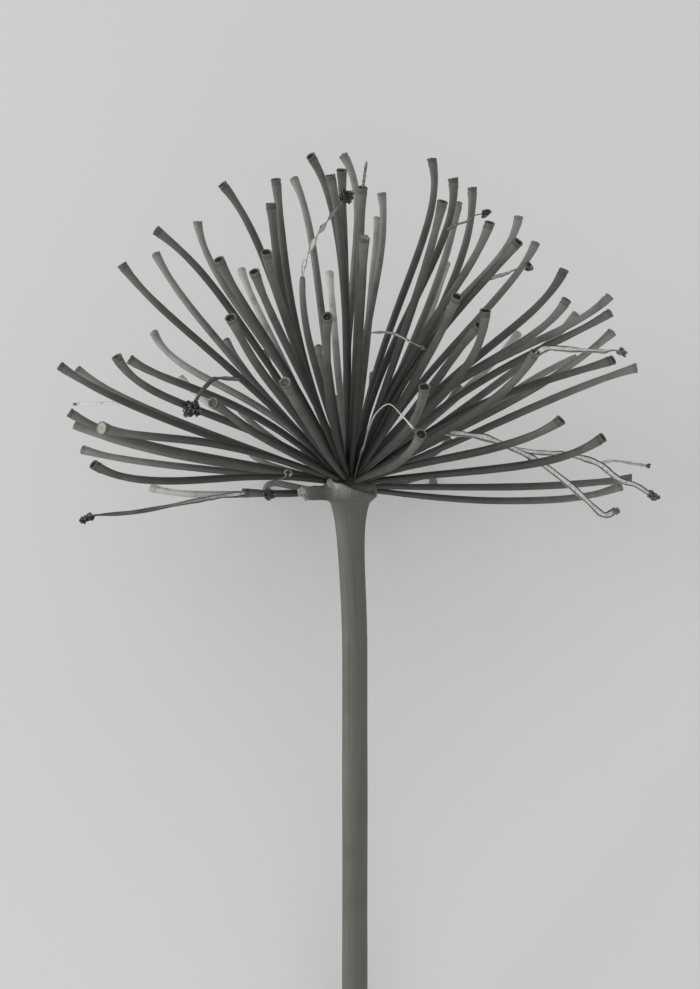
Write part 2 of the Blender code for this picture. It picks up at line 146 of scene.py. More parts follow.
def patches(tree, scale, detail=3.0):
    """Uneven patches over a piece."""
    place = wire(tree, "ShaderNodeTexCoord", {}, out=3)
    return wire(tree, "ShaderNodeTexNoise", {"Vector": place, "Scale": scale, "Detail": detail})


def finish_skin(tree, shader, colour, rough, relief, depth):
    """Give a shader its colour, its roughness and the relief of its fibres."""
    tree.links.new(colour, shader.inputs["Base Color"])
    tree.links.new(rough, shader.inputs["Roughness"])
    bumped = {"Height": relief, "Distance": depth, "Strength": 0.6}
    tree.links.new(wire(tree, "ShaderNodeBump", bumped), shader.inputs["Normal"])


def stem_skin(name):
    """Grey-brown dry skin with faint pale fibres, a few flecks, painted shade where its mesh marks it,
    and paler pith where it is cut.
    """
    material, tree, shader = bare_material(name)
    streaks = fibres(tree, 1100, 30)
    fine = fibres(tree, 4600, 120, 5.0)
    blotch = patches(tree, 110)
    specks = patches(tree, 1900, 2.0)
    grain = ranged(tree, streaks, 0.3, 0.7)
    skin = mixed(tree, grain, (0.081, 0.077, 0.066), (0.094, 0.090, 0.079))
    skin = mixed(tree, ranged(tree, fine, 0.5, 0.75, 0, 0.22), skin, (0.125, 0.12, 0.105))
    skin = mixed(tree, ranged(tree, blotch, 0.5, 0.72, 0, 0.4), skin, (0.076, 0.068, 0.054))
    skin = mixed(tree, ranged(tree, specks, 0.69, 0.79, 0, 0.5), skin, (0.035, 0.03, 0.022))
    # Painted shade: darker on the receptacle's crown between the stalks and in the hollow on its
    # shoulder
    skin = mixed(tree, named(tree, "painted_shade"), skin, (0.036, 0.035, 0.027))
    pith = mixed(tree, patches(tree, 2600), (0.12, 0.1, 0.07), (0.27, 0.235, 0.18))
    colour = mixed(tree, named(tree, "pith"), skin, pith)
    rough = ranged(tree, blotch, 0.3, 0.7, 0.6, 0.76)
    finish_skin(tree, shader, colour, rough, streaks, 0.0001)
    return material


def new_piece(name, mesh, material):
    """A smooth piece in the scene, with its place in its mesh."""
    item = bpy.data.objects.new(name, mesh)
    bpy.context.scene.collection.objects.link(item)
    if material:
        mesh.materials.append(material)
    mesh.polygons.foreach_set("use_smooth", [True] * len(mesh.polygons))
    return item


def point_values(mesh, name, values, kind="FLOAT", field="value"):
    """Write values to the points of a mesh as a named attribute."""
    mesh.attributes.new(name, kind, "POINT").data.foreach_set(field, values)


def point_vectors(mesh, name, vectors):
    """Write a vector to each point of a mesh as a named attribute."""
    flat = [value for vector in vectors for value in vector]
    point_values(mesh, name, flat, "FLOAT_VECTOR", "vector")


def ring_faces(rows, sides):
    """Four-sided faces between each ring of points and the next."""
    faces = []
    for row in range(rows - 1):
        for side in range(sides):
            after = (side + 1) % sides
            start = row * sides
            faces.append((start + side, start + after, start + sides + after, start + sides + side))
    return faces


def limited(value):
    """The value, kept from 0 to 1."""
    return min(max(value, 0.0), 1.0)


def smooth_step(value):
    """Ease from 0 to 1 as value goes from 0 to 1."""
    share = limited(value)
    return share * share * (3 - 2 * share)


def scape_middle(down):
    """The middle of the scape at a distance below the receptacle."""
    return Vector((SCAPE_LEAN * smooth_step((down - SCAPE_LEAN_FROM) / SCAPE_LEAN_OVER), -down, 0))


def scape_radius(down):
    """The scape's radius at a distance below the receptacle."""
    return SCAPE_RADIUS + SCAPE_FLARE * math.exp(-(down - SCAPE_FLARE_FROM) / SCAPE_FLARE_FADE)


def stem_relief(turn, down):
    """How far ribs and shrinkage move the skin of the stem in or out."""
    around = Vector((math.sin(turn), math.cos(turn), down * 14))
    ribs = RIB_DEPTH * math.sin(turn * RIB_COUNT + 2.2 * noise(around * 1.3))
    folds = FOLD_DEPTH * noise(Vector((around.x * 2.6, around.y * 2.6, down * 30)))
    return ribs + folds - 0.6 * FOLD_DEPTH


def stem_ring(down, radius, middle):
    """One ring of the stem's skin: points, and their places when rolled out."""
    points = []
    places = []
    for side in range(STEM_SIDES):
        turn = 2 * math.pi * side / STEM_SIDES
        out = radius + stem_relief(turn, down)
        points.append(middle + Vector((out * math.sin(turn), 0, out * math.cos(turn))))
        places.append((radius * math.sin(turn), radius * math.cos(turn), down))
    return points, places


def stem_mesh(name, rings, closings):
    """A closed mesh from rings of points and the two points that close its ends."""
    points = [pose @ point for ring, _ in rings for point in ring]
    places = [place for _, ring in rings for place in ring]
    faces = ring_faces(len(rings), STEM_SIDES)
    for ring, (closing, turned) in zip((0, len(rings) - 1), closings):
        hub = len(points)
        points.append(pose @ closing)
        places.append((0, 0, -closing.y))
        for side in range(STEM_SIDES):
            edge = [ring * STEM_SIDES + side, ring * STEM_SIDES + (side + 1) % STEM_SIDES]
            faces.append((hub, *(edge if turned else reversed(edge))))
    mesh = bpy.data.meshes.new(name)
    mesh.from_pydata([(point.x, point.y, max(point.z, 0.0)) for point in points], [], faces)
    point_vectors(mesh, "skin", places)
    return mesh


rings = [stem_ring(down, radius, scape_middle(down)) for down, radius in SCAPE_COVERED]
for row in range(SCAPE_ROWS):
    down = SCAPE_TOP + (SCAPE_LENGTH - SCAPE_TOP) * (row / (SCAPE_ROWS - 1)) ** SCAPE_ROW_CROWDING
    rings.append(stem_ring(down, scape_radius(down), scape_middle(down)))
pith = [0.0] * (len(rings) * STEM_SIDES)
for share, sunk in CUT_END:
    middle = scape_middle(SCAPE_LENGTH) + AXIS * sunk * MM
    ring, places = stem_ring(SCAPE_LENGTH, scape_radius(SCAPE_LENGTH) * share, middle)
    rough_cut = [point + AXIS * 0.12 * MM * noise(point * 1500) * (share < 0.95) for point in ring]
    rings.append((rough_cut, places))
    pith += [0.0 if share > 0.95 else 1.0] * STEM_SIDES
closings = [(scape_middle(SCAPE_COVERED[0][0]), False), (middle, True)]
mesh = stem_mesh("scape_stem", rings, closings)
point_values(mesh, "pith", pith + [0.0, 1.0])
point_values(mesh, "painted_shade", [0.0] * len(mesh.vertices))
scape_stem = new_piece("scape_stem", mesh, stem_skin("dry_scape_skin"))
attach(scape_stem, "root")
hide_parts("scape")

# The receptacle. It is the swollen top of the scape, of the same dry skin, 15 mm across, with
# sharp shoulders. The stalks grow from all of its crown, which has painted shade between them, and
# one that broke off left a small hollow on its right shoulder, also darkened with painted shade.

RECEPTACLE_OUTLINE = [
    (4.5, -7.2), (4.95, -6.4), (5.205, -5.75), (5.35, -5.1), (5.75, -4.3), (6.75, -3.45),
    (7.45, -2.6), (7.7, -1.4), (7.5, 0.4), (6.2, 2.9), (3.6, 4.6), (1.2, 5.15),
]
OUTLINE_STEPS = 7
BROKEN_STALK = Vector((6.6, -1.5, 3.4)) * MM
BROKEN_STALK_SIZE = 1.3 * MM
HOLLOW_DEPTH = 0.13


def smooth_route(points, steps):
    """Points on a smooth line through the given ones, with even steps between them."""
    ends = [points[0] * 2 - points[1]] + list(points) + [points[-1] * 2 - points[-2]]
    route = []
    for span in range(len(points) - 1):
        before, start, end, after = ends[span:span + 4]
        for step in range(steps):
            t = step / steps
            bend = (2 * before - 5 * start + 4 * end - after) * t * t
            twist = (3 * start - before - 3 * end + after) * t ** 3
            route.append(0.5 * (2 * start + (end - before) * t + bend + twist))
    return route + [points[-1].copy()]


outline = [Vector((radius, height, 0)) * MM for radius, height in RECEPTACLE_OUTLINE]
outline = smooth_route(outline, OUTLINE_STEPS)
rings = []
painted_shade = []
for radius, height, _ in reversed(outline):
    ring, places = stem_ring(-height, radius, AXIS * height)
    for index, point in enumerate(ring):
        nearness = max(0.0, 1 - (point - BROKEN_STALK).length / BROKEN_STALK_SIZE)
        hollow = smooth_step(nearness * 1.6)
        ring[index] = point * (1 - HOLLOW_DEPTH * hollow)
        # Painted shade: the hollow, and the crown where the stalks crowd together, are darkened
        painted_shade.append(max(hollow, smooth_step((height / MM + 0.9) / 2.0)))
    rings.append((ring, places))
painted_shade += [1.0, 0.0]
crown = AXIS * (outline[-1].y + 0.1 * MM)
mesh = stem_mesh("receptacle_head", rings, [(crown, False), (AXIS * outline[0].y, True)])
point_values(mesh, "pith", [0.0] * len(mesh.vertices))
point_values(mesh, "painted_shade", painted_shade)
receptacle_head = new_piece("receptacle_head", mesh, stem_skin("dry_receptacle_skin"))
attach(receptacle_head, "root")
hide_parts("umbel")

# The flower stalks. They are 89 bare pedicels, 2 mm thick and 79 to 93 mm long, that spread
# from the receptacle to a dome and turn up near their ends. Dry skin over a stiff core, with
# shallow ribs lengthwise. Two low ones on the far side carry the head on the table.

STALK_RADIUS = 1.05 * MM
REACH_AT_SIDE = 79 * MM
REACH_GAIN_ON_TOP = 14 * MM
ROOT_REACH = 3.6 * MM
# The lowest stalks leave from the rim of the receptacle, the others from its crown
ROOT_AT_RIM = -1.2 * MM
ROOT_AT_CROWN = 1.0 * MM
ROOT_RISE = 1.8 * MM
RIM_FROM = -0.03
RIM_OVER = 0.1
STALK_BOW = 0.05
ROOT_HANDLE = 0.5
TIP_HANDLE = 0.22
STALK_ROWS = 42
STALK_SIDES = 14
STALK_RIBS = 5
STALK_RIB_DEPTH = 0.035
STALK_WAVER = 0.22 * MM
STALK_SEED = 4
# The thickness along a stalk, as shares of its length, and then back from its tip
STALK_STATIONS = [(0, 0.72), (0.2, 0.88), (0.42, 1.0), (0.6, 1.0), (0.76, 0.97)]
CUP_STATIONS = [(8 * MM, 0.9), (3.2 * MM, 1.08), (0, 1.4)]
THIN_STATIONS = [(0, 0.72), (0.3, 0.9), (0.6, 0.86), (0.86, 0.74), (0.985, 0.7), (1, 0.58)]
# The stalk itself ends this far under the rim of its cup
CUP_FLOOR = 1.4 * MM

# Where the tips are seen: from in front, this far off, a little below the receptacle
SIGHT_DISTANCE = 480 * MM
SIGHT_UP = -2.1 * MM
# The depth of a tip is found by steps of this share, from a first guess
FIRST_DEPTH = 40 * MM
DEPTH_STEPS = 60
DEPTH_SHARE = 0.5

# Tips in mm as seen from in front: across, up, then the side of the dome, from 1 near to -1
# far, and the angle in degrees by which the tip turns in towards the flower's axis. Where a stalk
# also bends sideways: the degrees by which its end leans to the left, and the share of its length
# by which it first swings out to the left
SEEN_TIPS = [
    (-81.3, 34, 0, 14), (-64, 62.5, 1, 11, 0, -0.12), (-54.5, 72, 1, -10, 8, -0.12),
    (-54.5, 65.5, -1, 13), (-55, 43.5, -1, 20, -8, -0.24), (-47.4, 30.5, -1, 14),
    (-65.5, 36.7, 1, 29, -4, -0.16), (-62, 36, 0.3, 18, 12, -0.32), (-76.5, 33, -1.2, 14),
    (-78.7, 21, 0.5, 20), (-77, 17.5, -1, 14), (-69.7, 16.5, 1, 20, 24, -0.2),
    (-75, 10.5, -1, 13, 4, -0.04), (-72, 6.5, 1, 25, -4, -0.12), (-55.5, -0.3, -1, 11),
    (-38.6, 23.8, 1, 3), (-42.7, 74.5, -1, 10, -12, -0.12), (-36, 85, 1, -8, 12, -0.04),
    (-36.8, 63.9, 1, 5, 0, -0.08), (-33.6, 47.7, 1, 11), (-26.9, 60.5, 1, 10, 0, -0.08),
    (-23.5, 66, 1, 2, -8, 0), (-20.8, 86.3, 1, 5, -4, 0.16), (-22.2, 79.7, 1, 8, -8, 0.12),
    (-15.8, 86.5, -1, -10, 8, 0), (-30.5, 61, -1, 8), (-18.3, 29.5, 1, 5), (-30, -1.7, 0.2, 2),
    (-11.2, 93, 1, -12, 24, -0.12), (-5.6, 87.6, 1, 4, 12, -0.04), (-2.3, 89, 1, -7),
    (-2.1, 93.2, -1, -20, 12, 0.04), (3.5, 84, 1, 3), (8.8, 82.4, -1, 19, 8, 0.08),
    (7.8, 75.5, -1, 10), (4, 70.4, 1, 15), (-13.3, 58.6, 1, 13, -12, 0), (-5.7, 60, -1, 5),
    (-6.3, 48, 1, 5, -12, 0.08), (22.8, 92.2, 1, 21, 8, 0.16), (28.8, 86.6, 1, 17, 16, 0.2),
    (26, 80.1, 1, 9), (30.3, 79.8, -1, 15), (34.2, 84, 0.6, 25, 4, -0.04),
    (39.2, 74.2, 1, 10, 4, 0.2), (47.2, 75.8, -1, 25, 0, 0.4), (47.3, 69, 1, 0, -4, 0.24),
    (52, 68.5, -1, 15, 0, 0.2), (27, 62.8, -1, 13), (60, 61, 1, 18, 4, 0.2),
    (60.8, 52.6, 1, 22, 0, 0.32), (37.9, 49.6, 1, 27, 16, -0.04), (36.2, 45.3, 0.6, -3),
    (30, 53.5, 1, 10), (20.3, 46.8, -1, 10), (72.8, 53.5, -1, 12, 0, 0.4), (63.4, 48.4, -1, 12),
    (73.2, 49, 0.5, 0, 0, 0.28), (73.7, 43.6, -1, 13), (63.5, 36, -1, -10), (47, 43, -1, 10),
    (52, 38, 1, 27), (74, 35.7, 1, 5, -12, 0.28), (80.5, 33.4, -1, 0, -8, 0.04), (21, 28.3, 1, 35),
    (59.4, 19, 1, 30, -16, 0.08), (71, 14, 1, 23), (79, 2.3, 0, 5), (76, 0.3, -1, 17, 4, -0.08),
    (20, 15, 1, 19),
]
# A stalk that stayed thin and has no cup
THIN_TIP = (-13.3, 58.6)
# Stalks that stand on the table, by where their ends are across and up the flower
RESTING_TIPS = [(-27, -1.0), (27, 1.5)]
# Other stalks stop this far above the table
TABLE_CLEARANCE = 2.6 * MM
# Stalks on the far side, hidden from in front by the others, by the shares of their length that
# they reach across and up
HIDDEN_COUNT = 17
HIDDEN_TRIES = 6000
HIDDEN_ACROSS = (-0.46, 0.42)
HIDDEN_UP = (0.1, 0.55)
HIDDEN_LENGTH = (0.93, 1.0)
HIDDEN_SPACING = math.radians(9.5)
HIDDEN_TURN = 12
HIDDEN_SEED = 11
# How pale the skin is, from 0 to 1: of stalks in front and hidden ones, of those on the far side,
# and how much paler they are from a depth on, over another
FRONT_TONE = (0.0, 0.09)
FAR_TONE = (0.2, 0.3)
PALER = 0.5
PALER_FROM = 30 * MM
PALER_OVER = 30 * MM
# Stalks nearer than this are brown towards the tip, and how brown each is
BROWN_FROM = 48 * MM
BROWN_OVER = 30 * MM
BROWN_SHARES = (0.35, 1.0)
STALK_SIZES = (0.95, 1.03)


def seen_point(across, up, depth):
    """The point at a depth towards the viewer that is seen at across and up."""
    nearer = 1 - depth / SIGHT_DISTANCE
    return Vector((across * nearer, SIGHT_UP + (up - SIGHT_UP) * nearer, depth))


def reach(direction):
    """The length of the stalks that point along a direction."""
    return REACH_AT_SIDE + REACH_GAIN_ON_TOP * direction.normalized().y


def seen_tip(across, up, side):
    """The tip seen at across and up, where its sight line meets the dome of tips."""
    depth = side * FIRST_DEPTH
    for _ in range(DEPTH_STEPS):
        tip = seen_point(across * MM, up * MM, depth)
        spare = reach(tip) ** 2 - tip.x ** 2 - tip.y ** 2
        depth += DEPTH_SHARE * (side * math.sqrt(max(spare, 0.0)) - depth)
    return seen_point(across * MM, up * MM, depth)


def kept_off_table(tip):
    """The tip, drawn in along its stalk where it would reach the table."""
    height = (pose @ tip).z
    if height >= TABLE_CLEARANCE:
        return tip
    return tip * (RECEPTACLE_HEIGHT - TABLE_CLEARANCE) / (RECEPTACLE_HEIGHT - height)


def resting_tip(across, up, sunk=0.0):
    """The end of a stalk that stands on the table, or reaches a little below it."""
    depth = -(RECEPTACLE_HEIGHT + sunk + up * MM * math.sin(TILT)) / math.cos(TILT)
    return Vector((across * MM, up * MM, depth))


def hidden_tips(taken):
    """Tips on the far side of the dome, well spaced from the ones already there."""
    draw = random.Random(HIDDEN_SEED)
    found = []
    for _ in range(HIDDEN_TRIES):
        across = draw.uniform(*HIDDEN_ACROSS)
        up = draw.uniform(*HIDDEN_UP)
        tip = Vector((across, up, -math.sqrt(1 - across ** 2 - up ** 2)))
        if all(tip.angle(other) > HIDDEN_SPACING for other in taken + found):
            found.append(tip * reach(tip) * draw.uniform(*HIDDEN_LENGTH))
        if len(found) == HIDDEN_COUNT:
            break
    return found


def across_axis(direction):
    """The unit vector square to a direction that leads towards the flower's axis."""
    return (AXIS - direction * AXIS.dot(direction)).normalized()


def turned_end(tip, turn):
    """The direction of a stalk's end, turned in from straight outward."""
    outward = tip.normalized()
    return outward * math.cos(turn) + across_axis(outward) * math.sin(turn)


def stalk_bend(tip, end, swing):
    """The four points that bend a stalk, from its root to the rim of its cup, and its length."""
    outward = tip.normalized()
    above_rim = smooth_step((outward.y - RIM_FROM) / RIM_OVER)
    height = ROOT_AT_RIM + (ROOT_AT_CROWN - ROOT_AT_RIM) * above_rim + ROOT_RISE * outward.y
    root = Vector((ROOT_REACH * outward.x, height, ROOT_REACH * outward.z))
    length = (tip - root).length
    along = (tip - root) / length
    left = Vector((-along.y, along.x, 0)).normalized()
    start = along - across_axis(along) * STALK_BOW + left * swing
    first = root + start * ROOT_HANDLE * length
    return (root, first, tip - end * TIP_HANDLE * length, tip), length


def on_bend(bend, share):
    """The point at a share of the way along a bend of four points."""
    rest = 1 - share
    root, first, second, tip = bend
    middle = first * (3 * rest * rest * share) + second * (3 * rest * share * share)
    return root * rest ** 3 + middle + tip * share ** 3


def between(stations, share):
    """The value at a share of the way, between the stations on each side of it."""
    for (start, low), (end, high) in zip(stations, stations[1:]):
        if share <= end:
            return low + (high - low) * (share - start) / (end - start)
    return stations[-1][1]


def new_tree(name, sockets):
    """Empty geometry nodes, the identifiers of their inputs by name, and what these give."""
    tree = bpy.data.node_groups.new(name, "GeometryNodeTree")
    names = {}
    for label, kind in {"Geometry": "Geometry", **sockets, "Material": "Material"}.items():
        socket = tree.interface.new_socket(label, in_out="INPUT", socket_type="NodeSocket" + kind)
        names[label] = socket.identifier
    tree.interface.new_socket("Geometry", in_out="OUTPUT", socket_type="NodeSocketGeometry")
    return tree, names, tree.nodes.new("NodeGroupInput").outputs


def finish_tree(tree, skin, material):
    """End geometry nodes: make instances real, give them the material and hand them out."""
    skin = wire(tree, "GeometryNodeRealizeInstances", {"Geometry": skin})
    skin = wire(tree, "GeometryNodeSetMaterial", {"Geometry": skin, "Material": material})
    tree.links.new(skin, tree.nodes.new("NodeGroupOutput").inputs[0])


def stored(tree, name, kind="FLOAT"):
    """A named attribute in geometry nodes."""
    return wire(tree, "GeometryNodeInputNamedAttribute", {"Name": name}, data_type=kind)


def sweep_tree(name, level):
    """Geometry nodes that sweep a ribbed outline along every line of a mesh, laid level or not."""
    sockets = {"Sides": "Int", "Ribs": "Int", "Rib Depth": "Float", "Flatness": "Float",
               "Grain": "Float"}
    tree, names, given = new_tree(name, sockets)

    def math_node(operation, *values):
        return wire(tree, "ShaderNodeMath", dict(enumerate(values)), operation=operation)

    lines = wire(tree, "GeometryNodeMeshToCurve", {"Mesh": given["Geometry"]})
    mode = "Z_UP" if level else "MINIMUM_TWIST"
    lines = wire(tree, "GeometryNodeSetCurveNormal", {"Curve": lines}, mode=mode)
    lines = wire(tree, "GeometryNodeSetCurveTilt", {"Curve": lines, "Tilt": stored(tree, "twist")})
    circle = {"Resolution": given["Sides"], "Radius": 1.0}
    outline = wire(tree, "GeometryNodeCurvePrimitiveCircle", circle)
    index = wire(tree, "GeometryNodeInputIndex", {})
    angle = math_node("MULTIPLY", math_node("DIVIDE", index, given["Sides"]), 2 * math.pi)
    kept = {"Geometry": outline, "Name": "around", "Value": angle}
    outline = wire(tree, "GeometryNodeStoreNamedAttribute", kept, data_type="FLOAT", domain="POINT")
    angle = stored(tree, "around")
    rib = math_node("COSINE", math_node("MULTIPLY", angle, given["Ribs"]))
    out = math_node("MULTIPLY_ADD", rib, given["Rib Depth"], 1.0)
    wide = math_node("MULTIPLY", math_node("COSINE", angle), out)
    high = math_node("MULTIPLY", math_node("SINE", angle), out)
    flat = math_node("MULTIPLY", high, given["Flatness"])
    place = wire(tree, "ShaderNodeCombineXYZ", {"X": wide, "Y": flat})
    outline = wire(tree, "GeometryNodeSetPosition", {"Geometry": outline, "Position": place})
    radius = stored(tree, "radius")
    swept = {"Curve": lines, "Profile Curve": outline, "Scale": radius, "Fill Caps": True}
    skin = wire(tree, "GeometryNodeCurveToMesh", swept)
    spot = wire(tree, "GeometryNodeInputPosition", {})
    uneven = wire(tree, "ShaderNodeTexNoise", {"Vector": spot, "Scale": 420.0, "Detail": 3.0})
    amount = math_node("MULTIPLY", math_node("SUBTRACT", uneven, 0.5), given["Grain"])
    normal = wire(tree, "GeometryNodeInputNormal", {})
    offset = wire(tree, "ShaderNodeVectorMath", {0: normal, "Scale": amount}, operation="SCALE")
    skin = wire(tree, "GeometryNodeSetPosition", {"Geometry": skin, "Offset": offset})
    place = {"X": math_node("MULTIPLY", wide, radius), "Y": math_node("MULTIPLY", high, radius)}
    rolled = wire(tree, "ShaderNodeCombineXYZ", {**place, "Z": stored(tree, "along")})
    kept = {"Geometry": skin, "Name": "skin", "Value": rolled}
    skin = wire(tree, "GeometryNodeStoreNamedAttribute", kept, data_type="FLOAT_VECTOR", domain="POINT")
    skin = wire(tree, "GeometryNodeSetShadeSmooth", {"Geometry": skin})
    finish_tree(tree, skin, given["Material"])
    return tree, names


def made_by(tree, names, item, values):
    """Run a tree on an object, and keep what it makes as the object's plain mesh."""
    modifier = item.modifiers.new("grown", "NODES")
    modifier.node_group = tree
    for name, value in values.items():
        modifier[names[name]] = value
    bpy.context.view_layer.update()
    evaluated = item.evaluated_get(bpy.context.evaluated_depsgraph_get())
    mesh = bpy.data.meshes.new_from_object(evaluated)
    item.modifiers.clear()
    item.data = mesh
    return item


def line_mesh(name, lines):
    """A mesh of loose lines; each is a list of points with a dict of values for each point."""
    points = []
    edges = []
    values = {}
    for line in lines:
        first = len(points)
        for step, (point, facts) in enumerate(line):
            points.append(pose @ point)
            for key, value in facts.items():
                values.setdefault(key, []).append(value)
            if step:
                edges.append((first + step - 1, first + step))
    mesh = bpy.data.meshes.new(name)
    mesh.from_pydata(points, edges, [])
    for key, numbers in values.items():
        point_values(mesh, key, numbers)
    return mesh


def stalk_skin(name):
    """Dark olive-grey dry skin, paler or browner on some stalks, with lengthwise fibres; its darkness
    is partly painted shade, most of all towards the root.
    """
    material, tree, shader = bare_material(name)
    streaks = fibres(tree, 2300, 60)
    fine = fibres(tree, 7000, 230, 5.0)
    blotch = patches(tree, 210)
    specks = patches(tree, 2400, 2.0)
    grain = ranged(tree, streaks, 0.35, 0.65)
    # The dark skin is darker than the stalks' own brownish grey: part of that darkness is painted shade
    dark = mixed(tree, grain, (0.024, 0.025, 0.018), (0.038, 0.039, 0.030))
    pale = mixed(tree, grain, (0.38, 0.374, 0.345), (0.47, 0.464, 0.435))
    brown = mixed(tree, grain, (0.038, 0.034, 0.027), (0.068, 0.061, 0.05))
    tipward = named(tree, "tipward")
    skin = mixed(tree, named(tree, "tone"), dark, pale)
    skin = mixed(tree, named(tree, "brown"), skin, brown)
    skin = mixed(tree, ranged(tree, tipward, 0.62, 1.0, 0.0, 0.14), skin, pale)
    # Paler towards the tip; painted shade makes the lower part of each stalk, in the crowded core,
    # darker
    skin = mixed(tree, ranged(tree, tipward, 0.3, 0.8, 0.8, 0.0), skin, (0.023, 0.024, 0.018))
    skin = mixed(tree, ranged(tree, fine, 0.52, 0.75, 0, 0.16), skin, (0.11, 0.105, 0.09))
    skin = mixed(tree, ranged(tree, blotch, 0.52, 0.75, 0, 0.45), skin, (0.042, 0.036, 0.027))
    skin = mixed(tree, ranged(tree, specks, 0.68, 0.78, 0, 0.6), skin, (0.018, 0.016, 0.012))
    rough = ranged(tree, blotch, 0.3, 0.7, 0.52, 0.7)
    finish_skin(tree, shader, skin, rough, streaks, 0.00012)
    return material


stalks = []
for across, up, side, turn, *sideways in SEEN_TIPS:
    tip = kept_off_table(seen_tip(across, up, side))
    lean, swing = sideways or (0, 0)
    end = Matrix.Rotation(math.radians(lean), 3, "Z") @ turned_end(tip, math.radians(turn))
    stalks.append((tip, end, swing))
full_length = [resting_tip(across, up, SCAPE_SINK) for across, up in RESTING_TIPS]
for tip in hidden_tips([tip for tip, _, _ in stalks] + full_length):
    tip = kept_off_table(tip)
    stalks.append((tip, turned_end(tip, math.radians(HIDDEN_TURN)), 0))
table_down = pose.to_3x3().inverted() @ Vector((0, 0, -1))
stalks += [(resting_tip(across, up), table_down, 0) for across, up in RESTING_TIPS]
seen_places = [tuple(row[:2]) for row in SEEN_TIPS]
far_side = {number for number, row in enumerate(SEEN_TIPS) if row[2] < 0}

draw = random.Random(STALK_SEED)
lines = []
for number, (tip, end, swing) in enumerate(stalks):
    bend, length = stalk_bend(tip, end, swing)
    tone = draw.uniform(*(FAR_TONE if number in far_side else FRONT_TONE))
    if number in far_side:
        tone += PALER * smooth_step((-tip.z - PALER_FROM) / PALER_OVER)
    if number == seen_places.index(THIN_TIP):
        stations, last = THIN_STATIONS, 1
    else:
        steps_back = [(1 - back / (3 * TIP_HANDLE * length), swell) for back, swell in CUP_STATIONS]
        stations, last = STALK_STATIONS + steps_back, 1 - CUP_FLOOR / (3 * TIP_HANDLE * length)
    sway = Vector([draw.uniform(-1, 1) for _ in range(3)]) * STALK_WAVER
    brown = smooth_step((tip.z - BROWN_FROM) / BROWN_OVER) * draw.uniform(*BROWN_SHARES)
    size = draw.uniform(*STALK_SIZES)
    start = draw.uniform(0, 1)
    line = []
    for row in range(STALK_ROWS):
        share = last * row / (STALK_ROWS - 1)
        waver = sway * math.sin(math.pi * share) * math.sin(share * 7 + start * 6)
        facts = {
            "radius": between(stations, share) * STALK_RADIUS * (size + (1 - size) * share ** 6),
            "along": start + share * length, "tipward": share, "twist": start * 6 + share,
            "tone": tone, "brown": brown * smooth_step((share - 0.4) / 0.4),
        }
        line.append((on_bend(bend, share) + waver, facts))
    lines.append(line)
stalk_lines = [[point for point, _ in line] for line in lines]
swept_skin, swept_names = sweep_tree("swept_skin", False)
flower_stalks = new_piece("flower_stalks", line_mesh("flower_stalks", lines), None)
made_by(swept_skin, swept_names, flower_stalks, {
    "Sides": STALK_SIDES, "Ribs": STALK_RIBS, "Rib Depth": STALK_RIB_DEPTH, "Flatness": 1.0,
    "Grain": 0.1 * MM, "Material": stalk_skin("dry_stalk_skin")})
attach(flower_stalks, "root")
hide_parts("umbel")

# The cups. Each stalk ends in a small dished cup with a thick uneven rim, 3 mm across, where its
# flower fell off. Its floor is dark, with the stump of the flower in the middle. They are
# turned at random, and some are worn lower on one side.

CUP_SIDES = 20
CUP_SEED = 8
CUP_WIDEST = 1.48
CUP_SIZES = (0.9, 1.0)
# The kinds below that a cup is drawn from, where it isn't an odd one
USUAL_KINDS = (0, 0, 1, 2)
# Half the section of a cup: radius, height from the rim, and how deep in the hollow it is
CUP_SECTION = [
    (0.70, -3.10, 0), (1.10, -2.85, 0), (1.14, -2.45, 0), (1.18, -2.05, 0), (1.23, -1.60, 0),
    (1.29, -1.10, 0), (1.37, -0.65, 0), (1.43, -0.30, 0), (1.44, -0.08, 0.1), (1.36, 0.0, 0.2),
    (1.24, -0.03, 0.35), (1.12, -0.18, 0.55), (1.02, -0.48, 0.8), (0.90, -0.82, 1),
    (0.66, -1.06, 1), (0.40, -1.08, 0.9), (0.27, -0.92, 0.6), (0.12, -0.82, 0.5),
]
# How each kind of cup is worn: the drop of its rim on one side, the unevenness of its rim, and
# how far its hollow is closed by pale tissue
CUP_KINDS = [(0.10, 0.06, 0), (0.45, 0.12, 0), (0.22, 0.30, 0), (0.10, 0.1, 1), (0.5, 0.4, 0.55),
             (0.3, 0.3, 0.25)]
# The kind of the cups that differ, how far each turns towards the viewer, and its size
ODD_CUPS = {(-69.7, 16.5): (3, 0.6, 1.25), (-62, 36): (4, 0, 1.0), (-18.3, 29.5): (5, 0, 0.95),
            (-38.6, 23.8): (5, 0, 0.9), (-33.6, 47.7): (2, 0, 1.0), (4, 70.4): (4, 0, 1.0),
            (20, 15): (2, 0, 0.95)}


